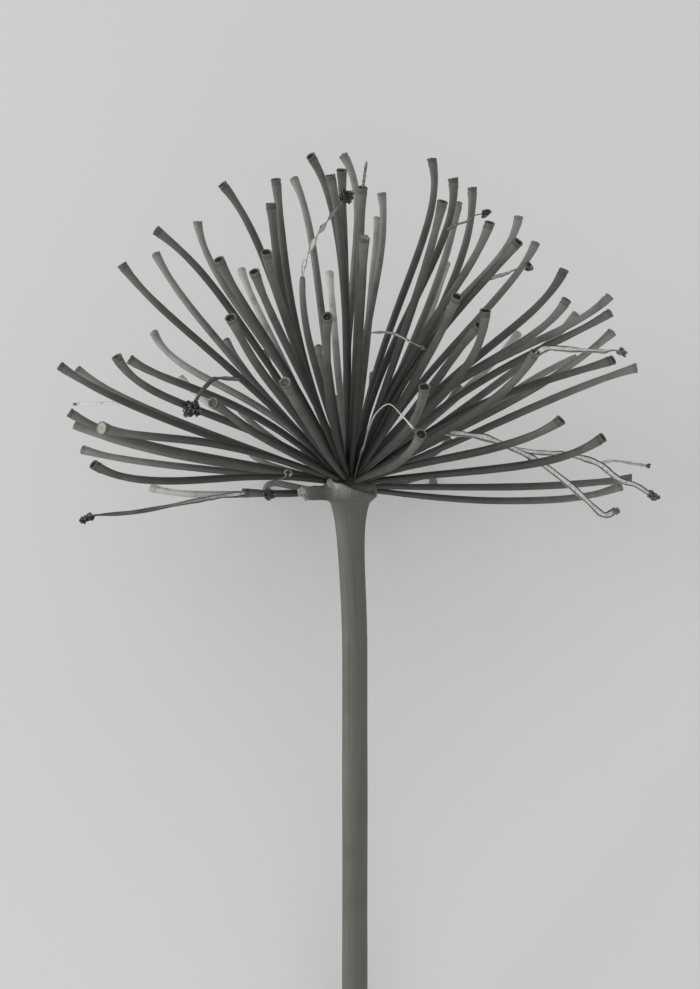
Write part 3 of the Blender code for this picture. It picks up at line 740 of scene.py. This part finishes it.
def cup_mesh(name, drop, uneven, closed, shift):
    """A cup at the origin with its rim in the plane z = 0 and its hollow facing up."""
    points = []
    hollow = []
    places = []
    for radius, height, depth in CUP_SECTION:
        for side in range(CUP_SIDES):
            turn = 2 * math.pi * side / CUP_SIDES
            around = Vector((math.cos(turn), math.sin(turn), shift))
            at_rim = smooth_step((height + 1.3) / 1.3) * smooth_step((radius - 0.5) / 0.6)
            sag = drop * (0.5 + 0.5 * math.cos(turn)) ** 2 + uneven * (0.5 + noise(around * 2.3))
            wide = 1 + 0.05 * noise(around * 1.7 + Vector((0, 0, height * 0.4)))
            out = min(radius * wide, CUP_WIDEST)
            lift = closed * depth * (0.55 + 0.3 * noise(around * radius * 3))
            level = height * (1 - 0.75 * closed * (depth > 0.3)) - at_rim * sag
            points.append((out * around.x * MM, out * around.y * MM, level * MM))
            hollow.append(depth * (1 - closed) + 0.25 * lift)
            places.append((out * around.x * MM, out * around.y * MM, height * MM))
    faces = ring_faces(len(CUP_SECTION), CUP_SIDES)
    faces.append(tuple(reversed(range(CUP_SIDES))))
    faces.append(tuple(range((len(CUP_SECTION) - 1) * CUP_SIDES, len(CUP_SECTION) * CUP_SIDES)))
    mesh = bpy.data.meshes.new(name)
    mesh.from_pydata(points, [], faces)
    point_values(mesh, "hollow", hollow)
    point_values(mesh, "closed", [closed * smooth_step(depth) for _, _, depth in CUP_SECTION
                                  for _ in range(CUP_SIDES)])
    point_vectors(mesh, "skin", places)
    return mesh


def cup_tree():
    """Geometry nodes that set a cup on every point, turned to face its way."""
    tree, names, given = new_tree("set_cups", {"Cups": "Collection"})
    held = {"Collection": given["Cups"], "Separate Children": True, "Reset Children": True}
    cups = wire(tree, "GeometryNodeCollectionInfo", held)
    aim = stored(tree, "aim", "FLOAT_VECTOR")
    aimed = wire(tree, "FunctionNodeAlignRotationToVector", {"Vector": aim}, axis="Z")
    spin = {"Axis": (0, 0, 1), "Angle": stored(tree, "spin")}
    spun = wire(tree, "FunctionNodeAxisAngleToRotation", spin)
    turned = wire(tree, "FunctionNodeRotateRotation", {0: aimed, 1: spun}, rotation_space="LOCAL")
    size = stored(tree, "size")
    scale = wire(tree, "ShaderNodeCombineXYZ", {"X": size, "Y": size, "Z": 1.0})
    placed = {"Points": given["Geometry"], "Instance": cups, "Pick Instance": True,
              "Instance Index": stored(tree, "kind", "INT"), "Rotation": turned, "Scale": scale}
    finish_tree(tree, wire(tree, "GeometryNodeInstanceOnPoints", placed), given["Material"])
    return tree, names


def cup_skin(name):
    """The stalk's skin, paler and browner on the rim and near black in the hollow."""
    material, tree, shader = bare_material(name)
    streaks = fibres(tree, 2300, 500)
    crumbs = patches(tree, 2600, 4.0)
    hollow = named(tree, "hollow")
    grain = ranged(tree, streaks, 0.35, 0.65)
    wall = mixed(tree, grain, (0.044, 0.043, 0.035), (0.078, 0.075, 0.064))
    wall = mixed(tree, named(tree, "tone"), wall, (0.4, 0.395, 0.365))
    ragged = ranged(tree, crumbs, 0.35, 0.65)
    rim = mixed(tree, ragged, (0.07, 0.064, 0.052), (0.21, 0.2, 0.175))
    floor_colour = mixed(tree, crumbs, (0.010, 0.009, 0.007), (0.032, 0.027, 0.02))
    skin = mixed(tree, ranged(tree, hollow, 0.0, 0.3), wall, rim)
    skin = mixed(tree, ranged(tree, hollow, 0.35, 0.8), skin, floor_colour)
    tissue = mixed(tree, ragged, (0.23, 0.22, 0.195), (0.36, 0.35, 0.32))
    skin = mixed(tree, named(tree, "closed"), skin, tissue)
    rough = ranged(tree, crumbs, 0.3, 0.7, 0.6, 0.85)
    finish_skin(tree, shader, skin, rough, crumbs, 0.0002)
    return material


kinds = bpy.data.collections.new("cup_kinds")
for number, (drop, uneven, closed) in enumerate(CUP_KINDS):
    name = f"cup_kind_{number}"
    cup = bpy.data.objects.new(name, cup_mesh(name, drop, uneven, closed, number * 7))
    kinds.objects.link(cup)
    cup.data.polygons.foreach_set("use_smooth", [True] * len(cup.data.polygons))
draw = random.Random(CUP_SEED)
cup_points, aims, choice = [], [], []
facts = {"spin": [], "size": [], "tone": []}
for number, (tip, end, _) in enumerate(stalks):
    place = seen_places[number] if number < len(SEEN_TIPS) else None
    stands = number >= len(stalks) - len(RESTING_TIPS)
    if place == THIN_TIP:
        continue
    usual = draw.choice(USUAL_KINDS) * (not stands), 0, draw.uniform(*CUP_SIZES)
    kind, facing, size = ODD_CUPS.get(place, usual)
    cup_points.append(pose @ tip)
    aims.append(pose.to_3x3() @ (end + Vector((0, 0, facing))).normalized())
    facts["spin"].append(draw.uniform(0, 2 * math.pi))
    facts["size"].append(size)
    facts["tone"].append(lines[number][0][1]["tone"])
    choice.append(kind)
mesh = bpy.data.meshes.new("flower_scars")
mesh.from_pydata(cup_points, [], [])
point_vectors(mesh, "aim", aims)
for key, values in facts.items():
    point_values(mesh, key, values)
point_values(mesh, "kind", choice, "INT")
flower_scars = new_piece("flower_scars", mesh, None)
set_cups, cup_names = cup_tree()
made_by(set_cups, cup_names, flower_scars, {"Cups": kinds, "Material": cup_skin("dry_cup_skin")})
for cup in list(kinds.objects):
    bpy.data.objects.remove(cup, do_unlink=True)
bpy.data.collections.remove(kinds)
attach(flower_scars, "root")
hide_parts("umbel")

# The withered flowers. Fourteen shrank to thin curled threads that still hang on the head, each
# a flat papery strip with thick dark edges and the crumpled rest of its petals at the end.

# Threads in mm: half their width, half the width and the length of their crumpled end, how dark
# they are where they start and end, how dark their edges are, how often they twist, and their way
# as seen from in front: across, up, height over the scape. Each starts in a stalk, or in a thread
# listed before it
THREADS = [
    (0.55, 1.25, 5.4, 0.0, 1.8, 1.0, 0.2, [
        (-28.8, -1.7, 14), (-36, -2.6, 17), (-44, -4, 18), (-60, -7, 16), (-72, -8, 12),
        (-74.8, -9.5, 10)]),
    (0.6, 2.3, 2.2, 0.6, 1.5, 0.7, 0.15, [
        (-32.1, 28.2, 13), (-35.4, 30.4, 19), (-38.2, 30.2, 25), (-41, 27.4, 32), (-43, 24.5, 38),
        (-44, 22, 40)]),
    (0.5, 1.7, 0.6, -0.3, 1.0, 0.6, 2.6, [
        (-12.9, 55.9, 68.6), (-12.9, 62, 70), (-10, 69, 69), (-7.5, 73, 66), (-4.5, 77, 62),
        (-1.3, 81, 60)]),
    (0.34, 0.45, 1.8, 0.8, 0.7, 0.5, 0.1, [(3.4, 82.1, 50), (3.9, 86, 51), (4.5, 90.5, 52)]),
    (0.36, 0.5, 0.8, 0.9, 0.2, 1.0, 0.6, [
        (2.7, 42.8, 45), (7.5, 43.3, 49), (12, 43, 53), (17, 40.7, 57), (20.5, 39, 58)]),
    (0.48, 0.6, 0.8, 1.8, -1.2, 0.35, 0.5, [
        (1, 1.5, 6), (1.9, 5, 22), (3, 9, 37), (4, 12, 47), (5.5, 17, 58), (7.5, 20.8, 66),
        (11, 23.2, 71), (15, 19.5, 73), (18.5, 15.5, 73)]),
    (0.4, 1.0, 1.3, 0.8, 0.75, 1.0, 0.5, [
        (25.9, 72.1, 31), (29, 73.2, 35), (33, 74.5, 38), (35, 76, 39), (38, 76.7, 38)]),
    (0.42, 1.1, 1.4, 0.45, 0.6, 1.0, 0.4, [
        (39.3, 56.8, 40), (43, 59.5, 30), (46, 60.8, 22), (49, 62, 16), (50.3, 61.5, 14)]),
    (0.75, 0.9, 3.0, -0.2, 0.35, 1.0, 0.25, [
        (51.5, 37, 62.8), (55, 38.8, 60.5), (62, 38.5, 52), (70, 38, 41), (74, 38.3, 34),
        (76.8, 37.5, 30)]),
    (0.82, 1.0, 1.2, -0.2, 0.15, 1.0, 0.15, [
        (26.1, 15.6, 34), (33, 14.6, 36), (38.5, 13.6, 37), (45, 11, 37), (50.7, 8.2, 34),
        (54.6, 5.9, 31), (61, 1, 27), (66, -3.5, 23), (71, -7.8, 19), (74.4, -6.6, 17)]),
    (0.72, 1.2, 2.4, -0.2, 0.35, 1.0, 0.15, [
        (45, 11, 37), (50.7, 9.8, 33), (57.7, 9.3, 30), (63, 8.6, 28), (69.4, 6.6, 26),
        (74, 3.1, 25), (76.5, 1.6, 24), (80.3, 0.4, 23), (85.2, -2.8, 22)]),
    (0.36, 0.65, 0.6, 0.2, 0.5, 0.3, 0.1, [
        (69.4, 6.6, 26), (74, 7.3, 24), (79, 6.6, 21), (83.4, 5.9, 19)]),
    (0.3, 1.4, 1.4, 0.4, 1.0, 1.0, 0.3, [
        (-16.6, 2.9, 12.9), (-16.4, 4, 15), (-17.3, 4.8, 16), (-18.3, 4.2, 16.5), (-17.9, 3.1, 17),
        (-19.8, 1.9, 18), (-22, 0.9, 18.5), (-23.4, -0.5, 18.5), (-22.4, -2, 18)]),
    (0.45, 0.45, 0.4, -0.2, -0.2, 0.1, 0.1, [
        (-58.4, 22.8, -5.8), (-64, 23.5, -8), (-70, 23.4, -11), (-77, 23.2, -14)]),
]
THREAD_STEPS = 12
THREAD_SIDES = 12
THREAD_FLATNESS = 0.34
THREAD_SEED = 21
# The crumpled petals: folded strips round the last of the thread, as shares of its end's size
PETALS = 10
PETAL_FOLDS = 4
PETAL_STEPS = 5
CRUMPLE_REACH = 0.45
PETAL_WIDTH = (0.14, 0.24)
PETAL_BLUNT = 0.08
# The share of a thread along which it turns to crumpled petal
CRUMPLED_FROM = 0.94


def nearest_on(lines, place):
    """The point nearest to a place on any of the lines."""
    found = []
    for line in lines:
        for start, end in zip(line, line[1:]):
            point, share = intersect_point_line(place, start, end)
            found.append(start if share < 0 else end if share > 1 else point)
    return min(found, key=lambda point: (point - place).length)


def thread_skin(name):
    """Pale papery strips, dark along both edges and where they are crumpled."""
    material, tree, shader = bare_material(name)
    streaks = fibres(tree, 4200, 300)
    crumbs = patches(tree, 1500, 4.0)
    edge = wire(tree, "ShaderNodeMath", {0: named(tree, "around")}, operation="COSINE")
    edge = wire(tree, "ShaderNodeMath", {0: edge}, operation="ABSOLUTE")
    grain = ranged(tree, streaks, 0.3, 0.7)
    strip = mixed(tree, grain, (0.5, 0.49, 0.46), (0.66, 0.65, 0.62))
    skin = mixed(tree, ranged(tree, crumbs, 0.5, 0.62, 0, 0.5), strip, (0.16, 0.15, 0.13))
    dull = mixed(tree, grain, (0.035, 0.033, 0.027), (0.08, 0.076, 0.066))
    skin = mixed(tree, named(tree, "dark"), skin, dull)
    edge = ranged(tree, edge, 0.5, 0.76)
    edge = wire(tree, "ShaderNodeMath", {0: edge, 1: named(tree, "rimmed")}, operation="MULTIPLY")
    skin = mixed(tree, edge, skin, (0.04, 0.037, 0.03))
    rag = ranged(tree, crumbs, 0.48, 0.58)
    petal = mixed(tree, rag, (0.075, 0.07, 0.058), (0.2, 0.19, 0.17))
    black = mixed(tree, ranged(tree, crumbs, 0.58, 0.64), (0.015, 0.013, 0.01), (0.42, 0.41, 0.38))
    petal = mixed(tree, named(tree, "dark"), petal, black)
    skin = mixed(tree, named(tree, "crumpled"), skin, petal)
    rough = ranged(tree, crumbs, 0.3, 0.7, 0.6, 0.8)
    finish_skin(tree, shader, skin, rough, streaks, 0.0001)
    return material


def within_ball(draw):
    """A random point in a ball of radius 1."""
    while True:
        point = Vector([draw.uniform(-1, 1) for _ in range(3)])
        if point.length < 1:
            return point


draw = random.Random(THREAD_SEED)
lines = []
carriers = list(stalk_lines)
for half_width, end_size, end_length, dark_from, dark_to, rimmed, twists, route in THREADS:
    points = [seen_point(across * MM, up * MM, depth * MM) for across, up, depth in route]
    points[0] = nearest_on(carriers, points[0])
    path = smooth_route(points, THREAD_STEPS)
    carriers.append(path)
    start = draw.uniform(0, 1)
    turning = draw.choice((-1, 1)) * twists * 2 * math.pi
    line = []
    along = 0.0
    for step, point in enumerate(path):
        share = step / (len(path) - 1)
        along += (point - path[max(step - 1, 0)]).length
        swell = 1.12 - 0.25 * share + 0.45 * noise(Vector((start * 50, share * 12, 0)))
        facts = {
            "radius": half_width * MM * swell, "along": start + along,
            "dark": limited(dark_from + (dark_to - dark_from) * share),
            "crumpled": smooth_step((share - CRUMPLED_FROM) / 0.06), "rimmed": rimmed,
            "twist": turning * (share - 0.4) + 0.5 * noise(Vector((start * 30, share * 7, 5))),
        }
        line.append((point, facts))
    lines.append(line)
    last = (path[-1] - path[-3]).normalized()
    tail = [point for point in path if (point - path[-1]).length < end_length * MM]
    for petal in range(PETALS):
        corners = [path[-1]]
        for _ in range(PETAL_FOLDS):
            middle = draw.choice(tail) + last * CRUMPLE_REACH * end_size * MM
            corners.append(middle + within_ball(draw) * end_size * MM)
        folded = smooth_route(corners, PETAL_STEPS)
        strip = []
        for step, point in enumerate(folded):
            share = step / (len(folded) - 1)
            thin, spread = PETAL_WIDTH
            wide = thin + spread * math.sin(math.pi * min(max(share, PETAL_BLUNT), 0.95))
            facts = {
                "radius": wide * end_size * MM, "along": start + share * 0.004,
                "dark": limited(dark_to), "crumpled": 0.95, "rimmed": 0.3,
                "twist": petal + share * 3,
            }
            strip.append((point, facts))
        lines.append(strip)
withered_flowers = new_piece("withered_flowers", line_mesh("withered_flowers", lines), None)
strip_skin, strip_names = sweep_tree("strip_skin", True)
made_by(strip_skin, strip_names, withered_flowers, {
    "Sides": THREAD_SIDES, "Ribs": 2, "Rib Depth": 0.14, "Flatness": THREAD_FLATNESS,
    "Grain": 0.12 * MM, "Material": thread_skin("withered_petal")})
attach(withered_flowers, "root")
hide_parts("umbel")

# The spathe remnant. The papery sheath that once held the buds tore away. What is left is a pale
# lip under the near stalks, 5 mm high and thin as paper, which fades out on the right and ends
# on the left in a narrow flap that sticks out, torn to whitish crumbs at its tip.

# The turn in degrees about the flower axis from straight up off the table, the radius in mm, the
# heights of its foot and its torn edge, and how pale its edge is
REMNANT_COLUMNS = [
    (60, 8.6, -3.5, -2.4, 0.0), (45, 8.6, -3.6, -2.0, 0.0), (30, 8.6, -3.6, -1.6, 0.05),
    (16, 8.7, -3.7, -1.1, 0.25), (5, 8.7, -3.7, -0.5, 0.5), (-6, 8.8, -3.8, 0.3, 0.8),
    (-17, 8.9, -3.8, 1.1, 1.0), (-27, 9.1, -3.8, 1.2, 0.9), (-35, 9.1, -3.8, 2.2, 0.65),
    (-42, 9.2, -3.7, 2.1, 0.5), (-46, 9.6, -3.6, 0.6, 0.2), (-48, 11.5, -3.5, 0.3, 0.1),
    (-49, 13.6, -3.5, 0.3, 0.15), (-50, 16.0, -3.4, 0.0, 0.5), (-50.5, 18.5, -2.4, -0.9, 1.6),
]
REMNANT_STEPS = 9
REMNANT_ROWS = 6
REMNANT_THICKNESS = 0.3 * MM
# How far in its foot is on the flap and elsewhere, and how far in and up the bend above the foot
REMNANT_FOOT_IN = (0.9, 2.1)
REMNANT_BEND = (0.15, 0.9)
# The share of its length from which it is frayed, up to how much its edge is torn in mm, at
# first and at the flap's tip, and how much its foot is torn there
FRAYED_FROM = 0.82
TORN_EDGE = (0.08, 0.78)
TORN_FOOT = 0.8
RUFFLE = 0.1
# Degrees between which the ridge on the left is crumbled and whitish, and how strongly
REMNANT_CRUMBLED = (-46, -12)
REMNANT_CRUMBLE = 0.75


def papery_skin(name):
    """Papery sheath with fine upright veins, the colour of the stem at its foot, pale above."""
    material, tree, shader = bare_material(name)
    veins = fibres(tree, 2000, 200)
    stains = patches(tree, 420)
    grain = ranged(tree, veins, 0.3, 0.7)
    foot = mixed(tree, grain, (0.081, 0.077, 0.066), (0.094, 0.090, 0.079))
    edge = mixed(tree, grain, (0.19, 0.182, 0.162), (0.25, 0.24, 0.215))
    crumbs = mixed(tree, ranged(tree, patches(tree, 1800, 4.0), 0.45, 0.6), edge, (0.5, 0.49, 0.45))
    skin = mixed(tree, named(tree, "pale"), foot, edge)
    skin = mixed(tree, ranged(tree, named(tree, "frayed"), 0.3, 1.0), skin, crumbs)
    skin = mixed(tree, ranged(tree, stains, 0.5, 0.72, 0, 0.4), skin, (0.07, 0.062, 0.05))
    rough = ranged(tree, stains, 0.3, 0.7, 0.7, 0.9)
    finish_skin(tree, shader, skin, rough, veins, 0.00015)
    return material


# Two smooth lines carry each row of numbers from column to column
first_facts = smooth_route([Vector(column[:3]) for column in REMNANT_COLUMNS], REMNANT_STEPS)
other_facts = smooth_route([Vector((*column[3:], 0)) for column in REMNANT_COLUMNS], REMNANT_STEPS)
points, places, pale, frayed = [], [], [], []
inward, upward = REMNANT_BEND
torn_first, torn_last = TORN_EDGE
ridge_from, ridge_to = REMNANT_CRUMBLED
on_flap, beside = REMNANT_FOOT_IN
for column, ((degrees, radius, foot), (edge, paleness, _)) in enumerate(zip(first_facts, other_facts)):
    share = column / (len(first_facts) - 1)
    fray = smooth_step((share - FRAYED_FROM) / (1 - FRAYED_FROM))
    torn = torn_first + (torn_last - torn_first) * fray
    edge += torn * (noise(Vector((share * 60, 3.1, 0))) + noise(Vector((share * 150, 9.4, 0))))
    foot += TORN_FOOT * fray * noise(Vector((share * 90, 5.5, 0)))
    foot_in = on_flap + (beside - on_flap) * smooth_step((degrees + 47) / 4)
    section = [(radius - foot_in, foot - 0.15), (radius - 0.55 * foot_in, foot + 0.15),
               (radius - inward, foot + upward), (radius, edge)]
    turn = math.radians(degrees)
    ridge = smooth_step((degrees - ridge_from) / 6) * smooth_step((ridge_to - degrees) / 10)
    path = smooth_route([Vector((out, height, 0)) for out, height in section], REMNANT_ROWS)
    for row, spot in enumerate(path):
        lift = row / (len(path) - 1)
        ruffle = RUFFLE * lift * noise(Vector((share * 22, lift * 2, 1.7)))
        out = (spot.x + ruffle) * MM
        points.append(pose @ Vector((out * math.sin(turn), spot.y * MM, out * math.cos(turn))))
        places.append((out * math.sin(turn), out * math.cos(turn), spot.y * MM))
        pale.append(min(paleness * smooth_step((lift - 0.55) / 0.4), 1.0))
        frayed.append(max(fray, REMNANT_CRUMBLE * ridge * smooth_step((lift - 0.7) / 0.25)))
rows = len(path)
corners = [column * rows + row for column in range(len(first_facts) - 1) for row in range(rows - 1)]
faces = [(corner, corner + 1, corner + rows + 1, corner + rows) for corner in corners]
mesh = bpy.data.meshes.new("spathe_lip")
mesh.from_pydata(points, [], faces)
point_vectors(mesh, "skin", places)
point_values(mesh, "pale", pale)
point_values(mesh, "frayed", frayed)
spathe_lip = new_piece("spathe_lip", mesh, papery_skin("papery_sheath_skin"))
wall = spathe_lip.modifiers.new("wall", "SOLIDIFY")
wall.thickness = REMNANT_THICKNESS
wall.offset = 0
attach(spathe_lip, "root")
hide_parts("spathe_remnant")

# The table the head lies on, soft light from all round with a little more from the left, and
# the camera, which looks down on the head square to its scape.

FLOOR_HALF = 4.0
TABLE_GREY = (0.62, 0.64)
ROOM_LIGHT = 0.8
LAMP_AIM = Vector((0, 0.05, 0.06))
CAMERA_LENS = 62.4
CAMERA_FRAME = 36.0

corners = [(-1, -1), (1, -1), (1, 1), (-1, 1)]
mesh = bpy.data.meshes.new("table_top")
mesh.from_pydata([(x * FLOOR_HALF, y * FLOOR_HALF, 0) for x, y in corners], [], [(0, 1, 2, 3)])
material, tree, shader = bare_material("pale_table")
greys = [(grey, grey, grey) for grey in TABLE_GREY]
tree.links.new(mixed(tree, patches(tree, 3.0), *greys), shader.inputs["Base Color"])
shader.inputs["Roughness"].default_value = 0.9
table_top = new_piece("table_top", mesh, material)

world = bpy.data.worlds.new("soft_room")
world.use_nodes = True
world.node_tree.nodes["Background"].inputs["Color"].default_value = (1, 1, 1, 1)
world.node_tree.nodes["Background"].inputs["Strength"].default_value = ROOM_LIGHT
bpy.context.scene.world = world
bpy.context.scene.view_settings.view_transform = "Standard"


def soft_light(name, place, size, power):
    """A large soft lamp that points at the flower."""
    lamp = bpy.data.lights.new(name, "AREA")
    lamp.shape = "DISK"
    lamp.size = size
    lamp.energy = power
    item = bpy.data.objects.new(name, lamp)
    bpy.context.scene.collection.objects.link(item)
    aim = LAMP_AIM - Vector(place)
    item.rotation_euler = aim.to_track_quat("-Z", "Y").to_euler()
    item.location = place


soft_light("window_left", (-1.7, 0.1, 0.36), 1.0, 19.0)
soft_light("window_below", (0.1, -1.8, 0.4), 1.4, 9.0)

camera = bpy.data.objects.new("camera", bpy.data.cameras.new("camera"))
camera.data.sensor_fit = "VERTICAL"
camera.data.sensor_height = CAMERA_FRAME
camera.data.lens = CAMERA_LENS
camera.data.clip_start = 0.01
camera.matrix_world = pose @ Matrix.Translation((0, SIGHT_UP, SIGHT_DISTANCE))
bpy.context.scene.collection.objects.link(camera)
bpy.context.scene.camera = camera
